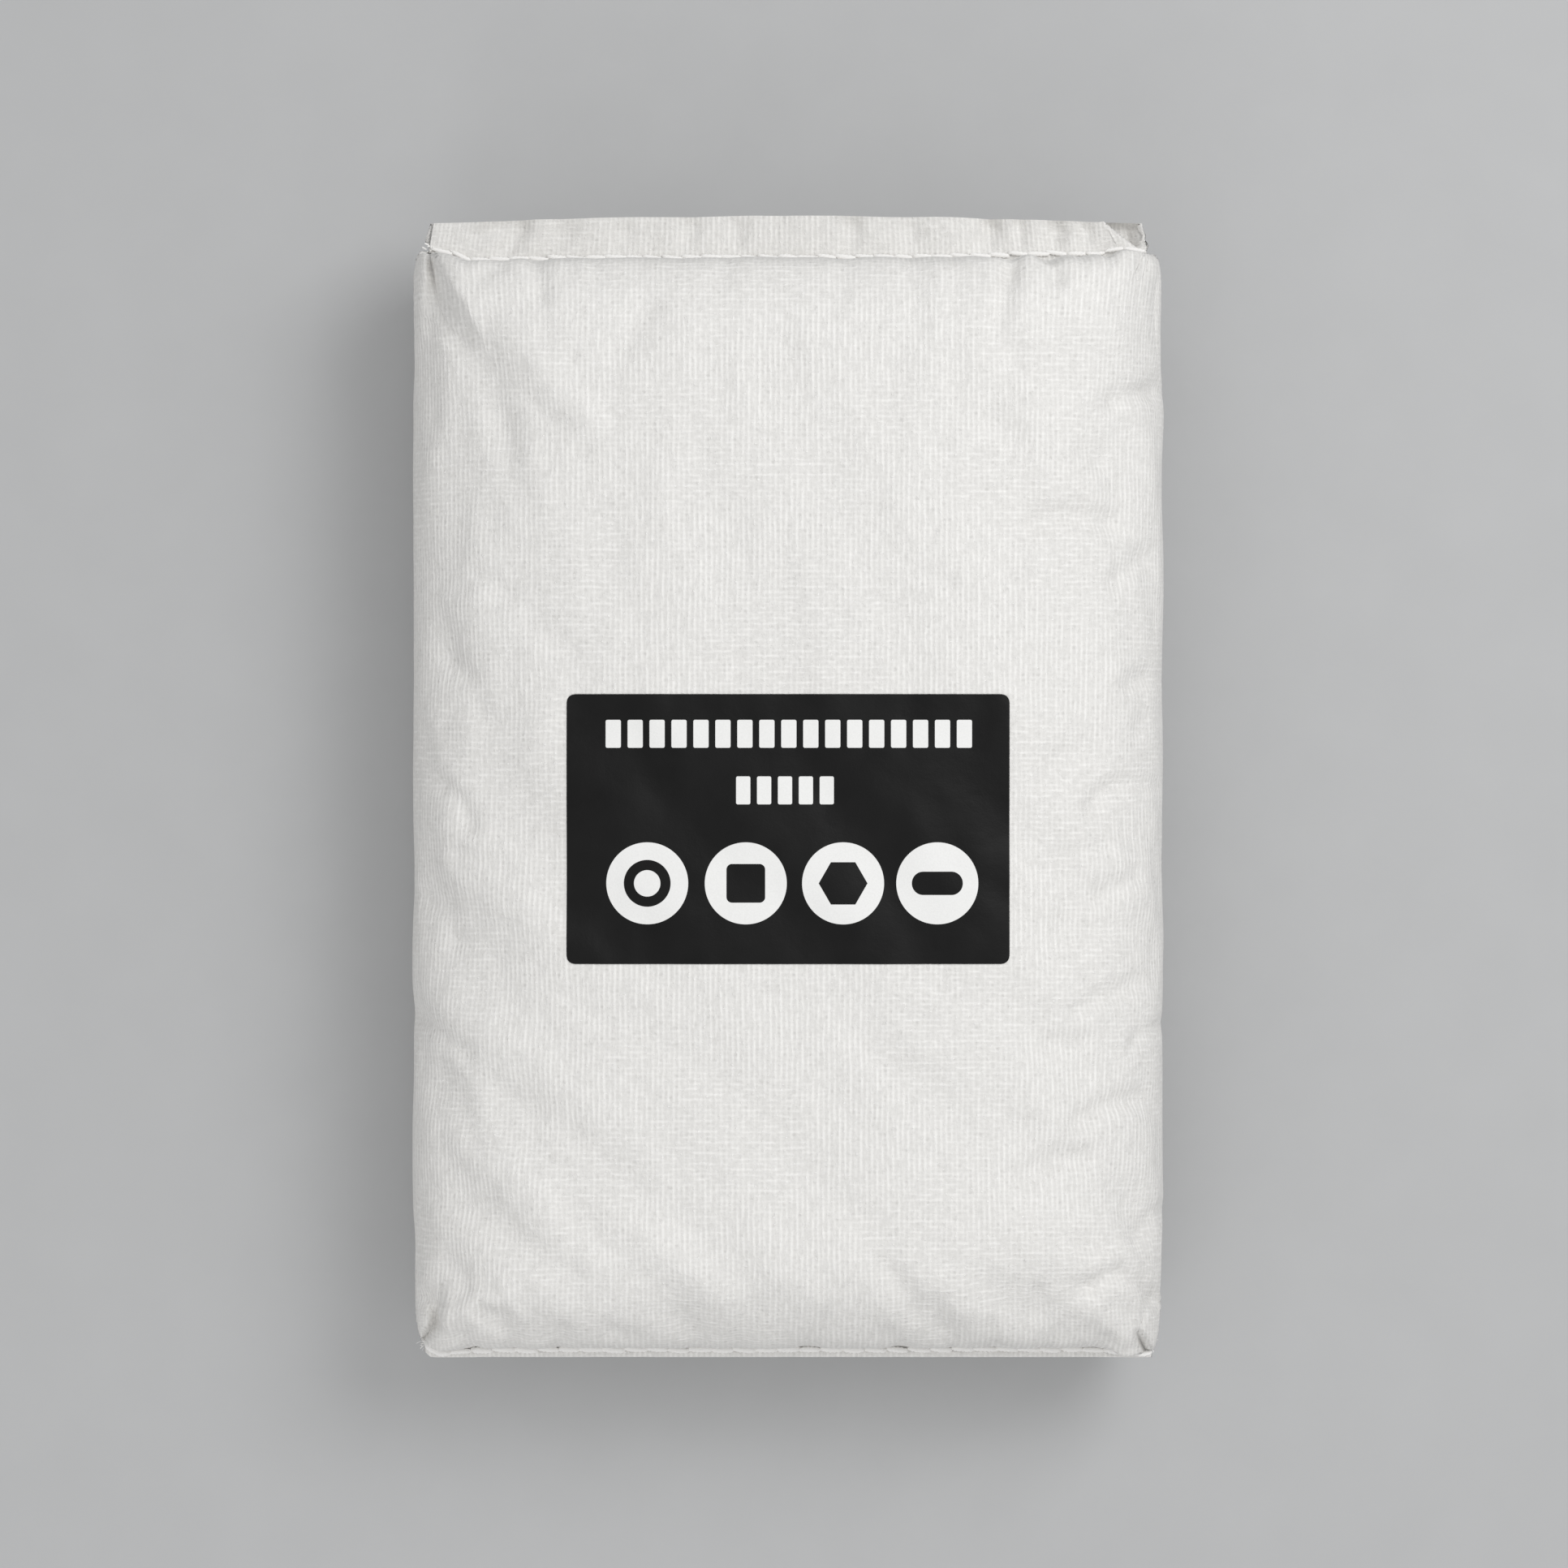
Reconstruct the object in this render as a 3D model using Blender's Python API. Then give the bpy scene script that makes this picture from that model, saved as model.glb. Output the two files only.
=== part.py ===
"""A 20 kg sack of dry cement mix, lying on its back on a level floor.

The sack is a woven tube with a gusset down each side. Both ends are sewn flat, with
a wide raw hem beyond the stitches at the mouth (+Y) and a narrow folded hem at the
foot (-Y). A film label is stuck to the upper face (+Z). Sizes are in metres, and the
origin is on the floor under the middle of the sack.
"""

import math

import bmesh
import bpy

# Overall size of the filled sack
SACK_WIDTH = 0.300
SACK_LENGTH = 0.457
SACK_THICKNESS = 0.110

# Sewn ends: the hem beyond the filled body, and its layers of cloth
MOUTH_HEM = 0.018
FOOT_HEM = 0.005
MOUTH_HEM_THICKNESS = 0.0024
FOOT_HEM_THICKNESS = 0.0032
HEM_NARROWING = 0.006
STITCH_SETBACK = 0.0018

# Roundness of the filled body: larger powers are squarer
UPPER_POWER = 5.0
LOWER_POWER = 6.0
SIDE_POWER = 2.2
END_POWER = 10.0
END_SOFTNESS = 1.2
SHOULDER_POWER = 14.0
CORNER_SQUARENESS = 1.6
UNDERSIDE_PRESS = 0.003

# Gusset folded in beside each seam
TUCK_DEPTH = 0.017
TUCK_REACH = 0.060
TUCK_HEIGHT_SHARE = 0.55

# Closing thread, a loop round each hem
STITCH_PITCH = 0.0075
THREAD_DIAMETER = 0.0012
THREAD_DIP = 0.0004
SEAT_GAP = 0.0003

# Label
LABEL_WIDTH = 0.1740
LABEL_HEIGHT = 0.1060
LABEL_CORNER = 0.0033
LABEL_THICKNESS = 0.0003
LABEL_CENTRE_Y = -0.0164

# Mesh fineness
SEGMENTS_ACROSS = 28
ROWS_ALONG = 36
POINTS_A_STITCH = 2
LABEL_COLUMNS = 16
LABEL_CORNER_ROWS = 4
LABEL_MIDDLE_ROWS = 8

BODY_START = -SACK_LENGTH / 2 + FOOT_HEM
BODY_END = SACK_LENGTH / 2 - MOUTH_HEM
BODY_CENTRE_Y = (BODY_START + BODY_END) / 2
BODY_HALF_LENGTH = (BODY_END - BODY_START) / 2
SEAM_HEIGHT = SACK_THICKNESS / 2
HEM_HALF_WIDTH = SACK_WIDTH / 2 - HEM_NARROWING


def clear_scene():
    for obj in list(bpy.data.objects):
        bpy.data.objects.remove(obj)


def finish(name, base_color, roughness, metallic=0.0):
    """A plain material with the colour and gloss of one sub-part."""
    material = bpy.data.materials.new(name)
    material.use_nodes = True
    shader = material.node_tree.nodes["Principled BSDF"]
    shader.inputs["Base Color"].default_value = (*base_color, 1.0)
    shader.inputs["Roughness"].default_value = roughness
    shader.inputs["Metallic"].default_value = metallic
    return material


def add_object(name, data, material, location, parent):
    data.materials.append(material)
    obj = bpy.data.objects.new(name, data)
    bpy.context.scene.collection.objects.link(obj)
    obj.parent = parent
    obj.location = location
    return obj


def mesh_from(name, build):
    """A mesh made by build(bm), with its faces turned outwards and shaded smooth."""
    bm = bmesh.new()
    build(bm)
    bmesh.ops.recalc_face_normals(bm, faces=bm.faces)
    mesh = bpy.data.meshes.new(name)
    bm.to_mesh(mesh)
    bm.free()
    mesh.shade_smooth()
    mesh.set_sharp_from_angle(angle=math.radians(40))
    return mesh


# The filled body. Its sections are measured from its own centre, at seam height,
# where y runs along the sack and across runs from -1 at one side to 1 at the other.


def along(y):
    """How far y is from the body's middle to a seam, from 0 to 1."""
    return min(1.0, abs(y) / BODY_HALF_LENGTH)


def fullness(y):
    """Share of the full thickness at y: 1 along the body, 0 at both seams."""
    return (1 - along(y) ** END_POWER) ** (1 / END_SOFTNESS)


def half_width(y):
    """The body is widest along its middle and narrows to the hem at both seams."""
    return SACK_WIDTH / 2 - HEM_NARROWING * along(y) ** SHOULDER_POWER


def hem_half_thickness(y):
    thickness = MOUTH_HEM_THICKNESS if y > 0 else FOOT_HEM_THICKNESS
    return thickness / 2


def dome(across, y, power):
    """Share of the middle's height at this place across; squarer near the seams."""
    squarer = power * (1 + CORNER_SQUARENESS * along(y) ** END_POWER)
    return max(0.0, 1 - abs(across) ** squarer) ** (1 / SIDE_POWER)


def upper_height(across, y):
    """Height of the upper face above the seam."""
    hem = hem_half_thickness(y)
    return hem + (SEAM_HEIGHT - hem) * fullness(y) * dome(across, y, UPPER_POWER)


def lower_height(across, y):
    """Depth of the underside below the seam, pressed flat where it meets the floor."""
    hem = hem_half_thickness(y)
    depth = SEAM_HEIGHT + UNDERSIDE_PRESS - hem
    return min(SEAM_HEIGHT, hem + depth * fullness(y) * dome(across, y, LOWER_POWER))


def tuck(y, share_of_height):
    """How far the gusset is folded in at y, deepest at seam height."""
    from_seam = BODY_HALF_LENGTH - abs(y)
    if not 0 < from_seam < TUCK_REACH or share_of_height > TUCK_HEIGHT_SHARE:
        return 0.0
    depth = TUCK_DEPTH * math.sin(math.pi * (1 - from_seam / TUCK_REACH) ** 2)
    return depth * (1 - share_of_height / TUCK_HEIGHT_SHARE) ** 1.5


def turns_across():
    """Places from 1 to nearly -1, closer together towards the two sides."""
    for i in range(SEGMENTS_ACROSS):
        yield math.cos(math.pi * i / SEGMENTS_ACROSS)


def body_ring(y):
    """Points round the sack at y: over the upper face, then back under the lower."""
    points = []
    for side, height in ((1, upper_height), (-1, lower_height)):
        for i, turn in enumerate(turns_across()):
            across = side * turn
            rise = height(across, y) if i else 0.0
            inward = math.copysign(tuck(y, rise / height(0.0, y)), across)
            points.append((across * half_width(y) - inward, y, side * rise))
    return points


def hem_ring(y, half_thickness):
    """The flat hem's section, with as many points as a body ring."""
    points = []
    for side in (1, -1):
        for i, turn in enumerate(turns_across()):
            rise = half_thickness if i else 0.0
            points.append((side * turn * HEM_HALF_WIDTH, y, side * rise))
    return points


def sack_rings():
    """Every section of the sack, from the foot hem's fold to the mouth hem's edge."""
    foot = hem_half_thickness(-1)
    mouth = hem_half_thickness(1)
    fold_y = -BODY_HALF_LENGTH - FOOT_HEM
    rings = [hem_ring(fold_y, foot * 0.4), hem_ring(fold_y + foot * 0.6, foot)]
    for row in range(ROWS_ALONG + 1):
        turn = (2 * row / ROWS_ALONG - 1) * math.pi / 2
        rings.append(body_ring(BODY_HALF_LENGTH * math.sin(turn)))
    rings.append(hem_ring(BODY_HALF_LENGTH + MOUTH_HEM, mouth))
    return rings


def close_ring(bm, ring):
    """Closes a hem's end by joining each upper point to the lower one beneath it."""
    for i in range(SEGMENTS_ACROSS):
        corners = [ring[i], ring[i + 1], ring[-i - 1], ring[-i]]
        bm.faces.new(list(dict.fromkeys(corners)))


def build_sack(bm):
    rings = [[bm.verts.new(point) for point in ring] for ring in sack_rings()]
    for near, far in zip(rings, rings[1:]):
        for i in range(len(near)):
            j = (i + 1) % len(near)
            bm.faces.new((near[i], near[j], far[j], far[i]))
    close_ring(bm, rings[0])
    close_ring(bm, rings[-1])


# The label, a thin sheet that follows the upper face


def label_half_width(y):
    """Half the label's width at y from its centre, less in its round corners."""
    into_corner = max(0.0, abs(y) - (LABEL_HEIGHT / 2 - LABEL_CORNER))
    round_off = math.sqrt(max(0.0, LABEL_CORNER**2 - into_corner**2))
    return LABEL_WIDTH / 2 - LABEL_CORNER + round_off


def label_rows():
    """Places of the label's rows from its centre, close together in its corners."""
    straight = LABEL_HEIGHT / 2 - LABEL_CORNER
    corner = []
    for i in range(LABEL_CORNER_ROWS):
        turn = (i + 1) / LABEL_CORNER_ROWS * math.pi / 2
        corner.append(straight + LABEL_CORNER * math.sin(turn))
    middle = []
    for i in range(LABEL_MIDDLE_ROWS + 1):
        middle.append(straight * (2 * i / LABEL_MIDDLE_ROWS - 1))
    return [-y for y in reversed(corner)] + middle + corner


def label_rim():
    """(row, column) of each point round the label's edge, in order."""
    last_row, last_column = len(label_rows()) - 1, LABEL_COLUMNS
    rim = [(0, column) for column in range(last_column)]
    rim += [(row, last_column) for row in range(last_row)]
    rim += [(last_row, column) for column in range(last_column, 0, -1)]
    rim += [(row, 0) for row in range(last_row, 0, -1)]
    return rim


def build_label(bm):
    """Made about its own centre, with its heights above the seam."""
    under, over = {}, {}
    rows = label_rows()
    for row, y in enumerate(rows):
        body_y = y + LABEL_CENTRE_Y - BODY_CENTRE_Y
        for column in range(LABEL_COLUMNS + 1):
            x = label_half_width(y) * (2 * column / LABEL_COLUMNS - 1)
            seat = upper_height(x / half_width(body_y), body_y) + SEAT_GAP
            under[row, column] = bm.verts.new((x, y, seat))
            over[row, column] = bm.verts.new((x, y, seat + LABEL_THICKNESS))
    for sheet in (under, over):
        for row in range(len(rows) - 1):
            for column in range(LABEL_COLUMNS):
                near = sheet[row, column], sheet[row, column + 1]
                far = sheet[row + 1, column + 1], sheet[row + 1, column]
                bm.faces.new(near + far)
    rim = label_rim()
    for here, there in zip(rim, rim[1:] + rim[:1]):
        bm.faces.new((under[here], under[there], over[there], over[here]))


# The closing thread, along the front of the hem and back behind it


def thread_loop(half_thickness):
    """The thread's centreline in the X-Z plane, which dips at each needle hole."""
    clear = half_thickness + SEAT_GAP + THREAD_DIAMETER / 2
    steps = round(2 * HEM_HALF_WIDTH / STITCH_PITCH) * POINTS_A_STITCH
    front = []
    for i in range(steps + 1):
        lift = THREAD_DIP * (1 - math.cos(2 * math.pi * i / POINTS_A_STITCH)) / 2
        front.append((HEM_HALF_WIDTH * (2 * i / steps - 1), clear + lift))
    for i in range(1, 6):
        turn = math.pi * i / 6
        front.append(
            (HEM_HALF_WIDTH + clear * math.sin(turn), clear * math.cos(turn))
        )
    behind = [(-x, -z) for x, z in front]
    return front + behind


def thread_curve(name, half_thickness):
    curve = bpy.data.curves.new(name, "CURVE")
    curve.dimensions = "3D"
    curve.bevel_depth = THREAD_DIAMETER / 2
    curve.bevel_resolution = 1
    loop = thread_loop(half_thickness)
    spline = curve.splines.new("POLY")
    spline.points.add(len(loop) - 1)
    for point, (x, z) in zip(spline.points, loop):
        point.co = (x, 0.0, z, 1.0)
    spline.use_cyclic_u = True
    return curve


def main():
    clear_scene()
    cloth = finish("sack_cloth", (0.80, 0.79, 0.77), 0.62)
    thread = finish("closing_thread", (0.84, 0.83, 0.80), 0.80)
    film = finish("label_film", (0.018, 0.018, 0.019), 0.42)

    seam_level = bpy.data.objects.new("seam_level", None)
    bpy.context.scene.collection.objects.link(seam_level)
    seam_level.location = (0.0, 0.0, SEAM_HEIGHT)

    sack = mesh_from("filled_sack", build_sack)
    add_object("filled_sack", sack, cloth, (0.0, BODY_CENTRE_Y, 0.0), seam_level)

    mouth = thread_curve("mouth_stitching", MOUTH_HEM_THICKNESS / 2)
    mouth_at = (0.0, BODY_END + STITCH_SETBACK, 0.0)
    add_object("mouth_stitching", mouth, thread, mouth_at, seam_level)

    foot = thread_curve("foot_stitching", FOOT_HEM_THICKNESS / 2)
    foot_at = (0.0, BODY_START - STITCH_SETBACK, 0.0)
    add_object("foot_stitching", foot, thread, foot_at, seam_level)

    label = mesh_from("label", build_label)
    add_object("label", label, film, (0.0, LABEL_CENTRE_Y, 0.0), seam_level)


main()
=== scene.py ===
"""Looks of the filled cement sack: woven cloth, closing threads, film label, floor, light and camera."""
import math
from collections import namedtuple

import bpy
import numpy as np
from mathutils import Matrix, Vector
from mathutils.bvhtree import BVHTree


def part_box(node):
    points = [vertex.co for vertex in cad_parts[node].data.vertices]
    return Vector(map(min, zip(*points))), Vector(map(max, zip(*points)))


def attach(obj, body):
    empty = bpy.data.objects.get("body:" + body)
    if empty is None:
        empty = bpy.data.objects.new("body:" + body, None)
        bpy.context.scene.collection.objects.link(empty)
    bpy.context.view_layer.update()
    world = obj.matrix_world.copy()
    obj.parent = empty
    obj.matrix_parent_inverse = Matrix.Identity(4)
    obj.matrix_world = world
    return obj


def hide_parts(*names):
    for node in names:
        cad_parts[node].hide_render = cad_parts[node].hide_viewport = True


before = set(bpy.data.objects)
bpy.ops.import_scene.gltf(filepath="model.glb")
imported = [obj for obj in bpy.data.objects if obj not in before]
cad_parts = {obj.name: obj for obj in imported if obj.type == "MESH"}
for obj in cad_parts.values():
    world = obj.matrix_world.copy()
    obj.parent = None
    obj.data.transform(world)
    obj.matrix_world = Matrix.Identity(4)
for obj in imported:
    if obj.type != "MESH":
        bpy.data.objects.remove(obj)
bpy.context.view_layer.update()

# The sack in metres: its box, stitch lines and seam height are the solid's
MILLIMETRE = 0.001
SACK_LOW, SACK_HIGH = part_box("filled_sack")
HALF_WIDTH = SACK_HIGH[0]
SEAM_HEIGHT = SACK_HIGH[2] / 2
SEAM_HALF_THICKNESS = 0.0011
PINCH = 0.45
PINCH_REACH = 0.0009
MOUTH_STITCH_MARGIN = 0.0015
FOOT_STITCH_MARGIN = 0.0009
MOUTH_STITCH_INSET = 0.0006
FOOT_STITCH_INSET = 0.0007
MOUTH_STITCH_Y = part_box("mouth_stitching")[0][1] + MOUTH_STITCH_INSET
FOOT_STITCH_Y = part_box("foot_stitching")[0][1] + FOOT_STITCH_INSET
MOUTH_SEAM_Y = MOUTH_STITCH_Y - MOUTH_STITCH_MARGIN
FOOT_SEAM_Y = FOOT_STITCH_Y + FOOT_STITCH_MARGIN
BODY_CENTRE_Y = (MOUTH_SEAM_Y + FOOT_SEAM_Y) / 2
BODY_HALF_LENGTH = (MOUTH_SEAM_Y - FOOT_SEAM_Y) / 2

# How the body narrows, falls and tucks in towards its seams, where larger powers are squarer
End = namedtuple("End", "narrowing narrowing_reach fall fall_start")
MOUTH = End(0.0046, 0.0030, 0.24, 0.84)
FOOT = End(0.0030, 0.0090, 0.60, 0.80)
UPPER_POWER = 4.0
LOWER_POWER = 6.0
SIDE_POWER = 2.2
END_SQUARENESS = 1.2
END_FALL_POWER = 2.1
END_FACE_POWER = 150
UNDERSIDE_EASE = 0.6
UNDERSIDE_PRESS = 0.003
TUCK_DEPTH = 0.022
TUCK_REACH = 0.06
TUCK_HEIGHT_SHARE = 0.22

# The cloth's grid and weave, its shallow waves, how far a crease draws the grid's lines,
# and the height above the seam where creases reach their full depth
TAPE_PITCH = 0.0021
UPPER_STEP = 0.0022
SIDE_STEP = 0.00085
UNDER_STEP = 0.008
SEAM_STEP = 0.0009
MIDDLE_STEP = 0.0024
NEAR_SEAM = 0.05
STRAIGHT_RUN = 0.085
SQUEEZE_POWER = 1.3
WAVE_LENGTHS = (0.012, 0.054)
WAVE_SPREAD = 0.4
WAVE_STEEPNESS = 0.075
WAVE_CHANGE_REACH = 0.16
STRONG_WAVES_START = 0.108
STRONG_WAVES_REACH = 0.09
WAVES_AT_FOOT = 1.5
WAVES_IN_MIDDLE = 0.55
WAVES_AT_SIDES = 0.9
CREASE_DRAW = 0.0026
CREASE_FULL_HEIGHT = 0.002
RANDOM = np.random.RandomState(7)

# Spare cloth as shares of its length, and how far from the seams and sides it reaches
SPARE_EVERYWHERE = 0.0036
SPARE_AT_SEAMS = 0.034
SPARE_AT_SIDES = 0.026
SPARE_SEAM_REACH = 0.034
SPARE_SIDE_REACH = 0.06
SPARE_PATCH = 0.14

# Cloth solver: its levels, coarse and finer, and what carries each move on and holds it back
Level = namedtuple("Level", "scale steps wave nudge")
COARSE_LEVEL = Level(4.0, 160, 0.060, 0.00025)
FINER_LEVEL = Level(2.0, 160, 0.020, 0.00016)
MOMENTUM = 0.85
PUSH_SHARE = 0.22
BENDING = 0.15
FILLING = 0.003
SWING_LIMIT = 0.003

# Hems, their first rows beyond the body, and how far the seams' wandering and gathers reach into it,
# with the mouth's taper a share over its whole depth and the foot's a share for each metre
MOUTH_HEM_DEPTH = 0.0166
MOUTH_FIRST_ROWS = (0.0007, 0.0015)
MOUTH_EVEN_ROWS_START = 0.0025
FOOT_FIRST_ROW = 0.0005
MOUTH_HEM_HALF_WIDTH = 0.143
MOUTH_EDGE_CURVE = 0.003
MOUTH_EDGE_RIPPLE = 0.00022
MOUTH_HEM_SWAY = 0.0008
MOUTH_HEM_FLUTTER = 0.0005
MOUTH_HEM_FLARE = 0.9
MOUTH_HEM_TAPER = 0.014
FOOT_HEM_TAPER = 0.02
MOUTH_HEM_FOLDING = 2.4
MOUTH_SHIFT_REACH = 0.014
FOOT_SHIFT_REACH = 0.008
GATHER_REACH = 0.016
GATHER_BELOW_SEAM = 0.004

# In millimetres: how far the stitch lines wander to +Y at each x, and the gathers' x, reach and depth
MOUTH_WANDER = [(-146, 3.4), (-136, 2.2), (-127, -0.9), (-116, -0.8), (-90, 0), (60, 0.4),
                (100, 1.6), (124, 1.8), (134, 3.8), (145, 2.6)]
FOOT_WANDER = [(-146, 2.5), (-143.5, 0.2), (-139, -1.6), (-131, -0.8), (-122, 0), (124, 0),
               (136, -0.8), (142, -1.6), (146, -0.5)]
MOUTH_GATHERS = [(-114, 6, 0.9), (-96, 5, 0.8), (-55, 6, 0.6), (-22, 5, 0.4), (26, 7, 0.7),
                 (52, 5, 0.6), (75, 4, 0.5), (88, 5, 1.1), (107, 4, 1.1), (129, 4, 0.9)]

# The mouth hem's back layers, which stand out at both ends, and the slits before them at +X,
# each with its gape and its place and reach as shares of the hem's depth
Slit = namedtuple("Slit", "gape place reach")
RIGHT_SLITS = (Slit(0.5, 0.30, 0.12), Slit(0.3, 0.62, 0.10))
END_REACH = 0.012
END_RIM = 0.0016
END_SHIFT = 0.0022
END_SINK = 0.0024
END_STAND = 0.0032

# The mouth hem's front corner at +X, tucked away beyond a fold line, and the shadowed pit behind it
TURN_START = np.array([0.1268, 0.2264])
TURN_END = np.array([0.1395, 0.2165])
TURN_LEAST_X = 0.1
TURN_SNAP = 0.0008
TURN_BACK = 1.6
TURN_SINK = 0.0009
PIT_DEPTH = 0.007
PIT_START = 0.122
PIT_START_BANK = 0.004
PIT_END = 0.14
PIT_END_BANK = 0.0012
PIT_END_RISE = 0.1
PIT_FOLD_BANK = 0.002

# Threads and frayed corners, the corners' heights measured from the seam
Sewing = namedtuple("Sewing", "seam_y wander half_width pitch radius slants")
MOUTH_SEWING = Sewing(MOUTH_STITCH_Y, MOUTH_WANDER, 0.1425, 0.0077, 0.00115, (0.0002, 0.0012))
FOOT_SEWING = Sewing(FOOT_STITCH_Y, FOOT_WANDER, 0.1445, 0.0088, 0.0016, (0.0001, 0.0008))
Fray = namedtuple("Fray", "corner way count longest thickness")
MOUTH_LEFT_FRAY = Fray((-0.1438, 0.2158, 0.001), (-0.6, 0.3, 0.3), 6, 0.0019, 0.00042)
FOOT_RIGHT_FRAY = Fray((0.1445, -0.2235, 0.0), (0.6, 0.3, 0.2), 40, 0.0026, 0.00013)
FOOT_LEFT_FRAY = Fray((-0.1460, -0.2225, 0.0), (-0.6, -0.2, 0.2), 18, 0.0020, 0.00013)
THREAD_SIDES = 10
THREAD_LAY = 0.0032
THREAD_LIFT = 0.0035
STITCH_WANDER = 0.00022
STITCH_OVERLAP = (-0.03, 0.12)
STITCH_SWELL = (0.82, 1.12)
STITCH_STAND = 0.9
STITCH_DIVE = 1.6
PLY_DEPTH = 0.14

# Label, and the shapes printed on it in the sack's own frame
LABEL_LOW, LABEL_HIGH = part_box("label")
LABEL_CORNER = 0.0033
LABEL_THICKNESS = 0.0003
LABEL_COLUMNS = 108
LABEL_LINES = 64
LABEL_MAP_SHARE = 0.8
UNDERSIDE_MAP_SHARE = 0.2
BlockRow = namedtuple("BlockRow", "centre_x centre_y count width gap")
BLOCK_ROWS = (BlockRow(0.0003, 0.021, 17, 0.006, 0.00262), BlockRow(-0.0012, -0.0012, 5, 0.0056, 0.0026))
BLOCK_HEIGHT = 0.011
BLOCK_CORNER = 0.0007
DISC_RADIUS = 0.0161
DISC_Y = -0.0377
DISCS = (("ring", -0.0553), ("square", -0.0166), ("hexagon", 0.0216), ("bar", 0.0586))
BOX_FIGURES = {"square": (0.0076, 0.0076, 0.0022), "bar": (0.010, 0.0046, 0.0045)}
HEXAGON_REACH = 0.0083
RING_RADIUS = 0.0072
RING_HALF_WIDTH = 0.002

# Relief of the materials, as depths of their bumps
WEAVE_RELIEF = 0.00014
CRINKLE_RELIEF = 0.00035
FIBRE_RELIEF = 0.0001
INK_RELIEF = 0.00005
FILM_RELIEF = 0.0006
FLOOR_RELIEF = 0.0002

# Light, floor and camera
Lamp = namedtuple("Lamp", "name place size power")
LAMPS = (Lamp("key", (0.80, 0.66, 1.50), 0.90, 11.8), Lamp("fill", (-0.35, -1.10, 0.85), 0.80, 2.2))
LAMP_AIM = (0, 0, 0.05)
WORLD_STRENGTH = 0.66
FLOOR_HALF_WIDTH = 6.0
LENS = 150
SENSOR_WIDTH = 36
PICTURE_WIDTH = 0.6287
CAMERA_X = -0.0016
CAMERA_Y = 0.0013


# Shape of the filled sack before it creases

def fullness(share, ease=1.0):
    """How far the sack is open at this share of its half length, from 0 at a seam to 1."""
    start = np.where(share > 0, MOUTH.fall_start, FOOT.fall_start)
    fall = np.where(share > 0, MOUTH.fall, FOOT.fall) * ease
    past = np.clip((np.abs(share) - start) / (1 - start), 0, 1)
    shoulder = 1 - fall * past ** END_FALL_POWER
    return shoulder * np.sqrt(np.maximum(0.0, 1 - np.abs(share) ** END_FACE_POWER))


def polyline_length(*coordinates):
    """Distance along a polyline at each of its points."""
    steps = np.sqrt(sum(np.diff(values) ** 2 for values in coordinates))
    return np.concatenate([[0.0], np.cumsum(steps)])


def quarter_outline(share, power, press, ease):
    """Half of one face of the section: from its middle to the bottom of the side tuck."""
    turn = np.linspace(0, math.pi / 2, 500)
    from_seam = BODY_HALF_LENGTH * (1 - abs(share))
    end = MOUTH if share > 0 else FOOT
    width = HALF_WIDTH - end.narrowing * math.exp(-from_seam / end.narrowing_reach)
    bend = power * (1 + END_SQUARENESS * abs(share) ** 10)
    height = (SEAM_HEIGHT + press - SEAM_HALF_THICKNESS) * float(fullness(share, ease))
    out = width * np.sin(turn) ** (2 / bend)
    up = SEAM_HALF_THICKNESS * np.cos(turn) + height * np.cos(turn) ** (2 / SIDE_POWER)
    up = np.minimum(up, SEAM_HEIGHT)
    tuck = TUCK_DEPTH * max(0.0, 1 - from_seam / TUCK_REACH) ** 2
    out = out - tuck * np.maximum(0, 1 - up / (TUCK_HEIGHT_SHARE * up[0]))
    return out, up


UPPER_FACE = (UPPER_POWER, 0.0, 1.0)
LOWER_FACE = (LOWER_POWER, UNDERSIDE_PRESS, UNDERSIDE_EASE)
UPPER_RUN = polyline_length(*quarter_outline(0.0, *UPPER_FACE))[-1]
LOWER_RUN = polyline_length(*quarter_outline(0.0, *LOWER_FACE))[-1]
GIRTH = 2 * (UPPER_RUN + LOWER_RUN)
SHARES = np.linspace(-1, 1, 4001)
RUN_AT_SHARE = polyline_length(SHARES * BODY_HALF_LENGTH, SEAM_HEIGHT * fullness(SHARES))
BODY_RUN = RUN_AT_SHARE[-1]


def on_face(run, full_run, outline):
    """Out and up at distances from a face's middle, squeezed to fit past its straight run."""
    lengths = polyline_length(*outline)
    past = np.maximum(0, run - STRAIGHT_RUN) / (full_run - STRAIGHT_RUN)
    place = run - (full_run - lengths[-1]) * past ** SQUEEZE_POWER
    return [np.interp(place, lengths, values) for values in outline]


def filled_shape(around, along):
    """Points of the smooth sack, one row for each distance along and one column for each around."""
    points = np.zeros((len(along), len(around), 3))
    side = np.where(around < 0, -1.0, 1.0)
    reach = np.abs(around)
    upper = reach <= UPPER_RUN
    for row, run in enumerate(along):
        share = float(np.interp(run, RUN_AT_SHARE, SHARES))
        upper_out, upper_up = on_face(reach, UPPER_RUN, quarter_outline(share, *UPPER_FACE))
        lower_out, lower_up = on_face(GIRTH / 2 - reach, LOWER_RUN, quarter_outline(share, *LOWER_FACE))
        points[row, :, 0] = side * np.where(upper, upper_out, lower_out)
        points[row, :, 1] = BODY_CENTRE_Y + share * BODY_HALF_LENGTH
        points[row, :, 2] = SEAM_HEIGHT + np.where(upper, upper_up, -lower_up)
    return points


def graded(start, end, first_step, last_step):
    """Places after start up to end, their spacing changing evenly."""
    count = max(2, round((end - start) / ((first_step + last_step) / 2)))
    steps = np.linspace(first_step, last_step, count)
    return start + np.cumsum(steps * (end - start) / steps.sum())


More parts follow.
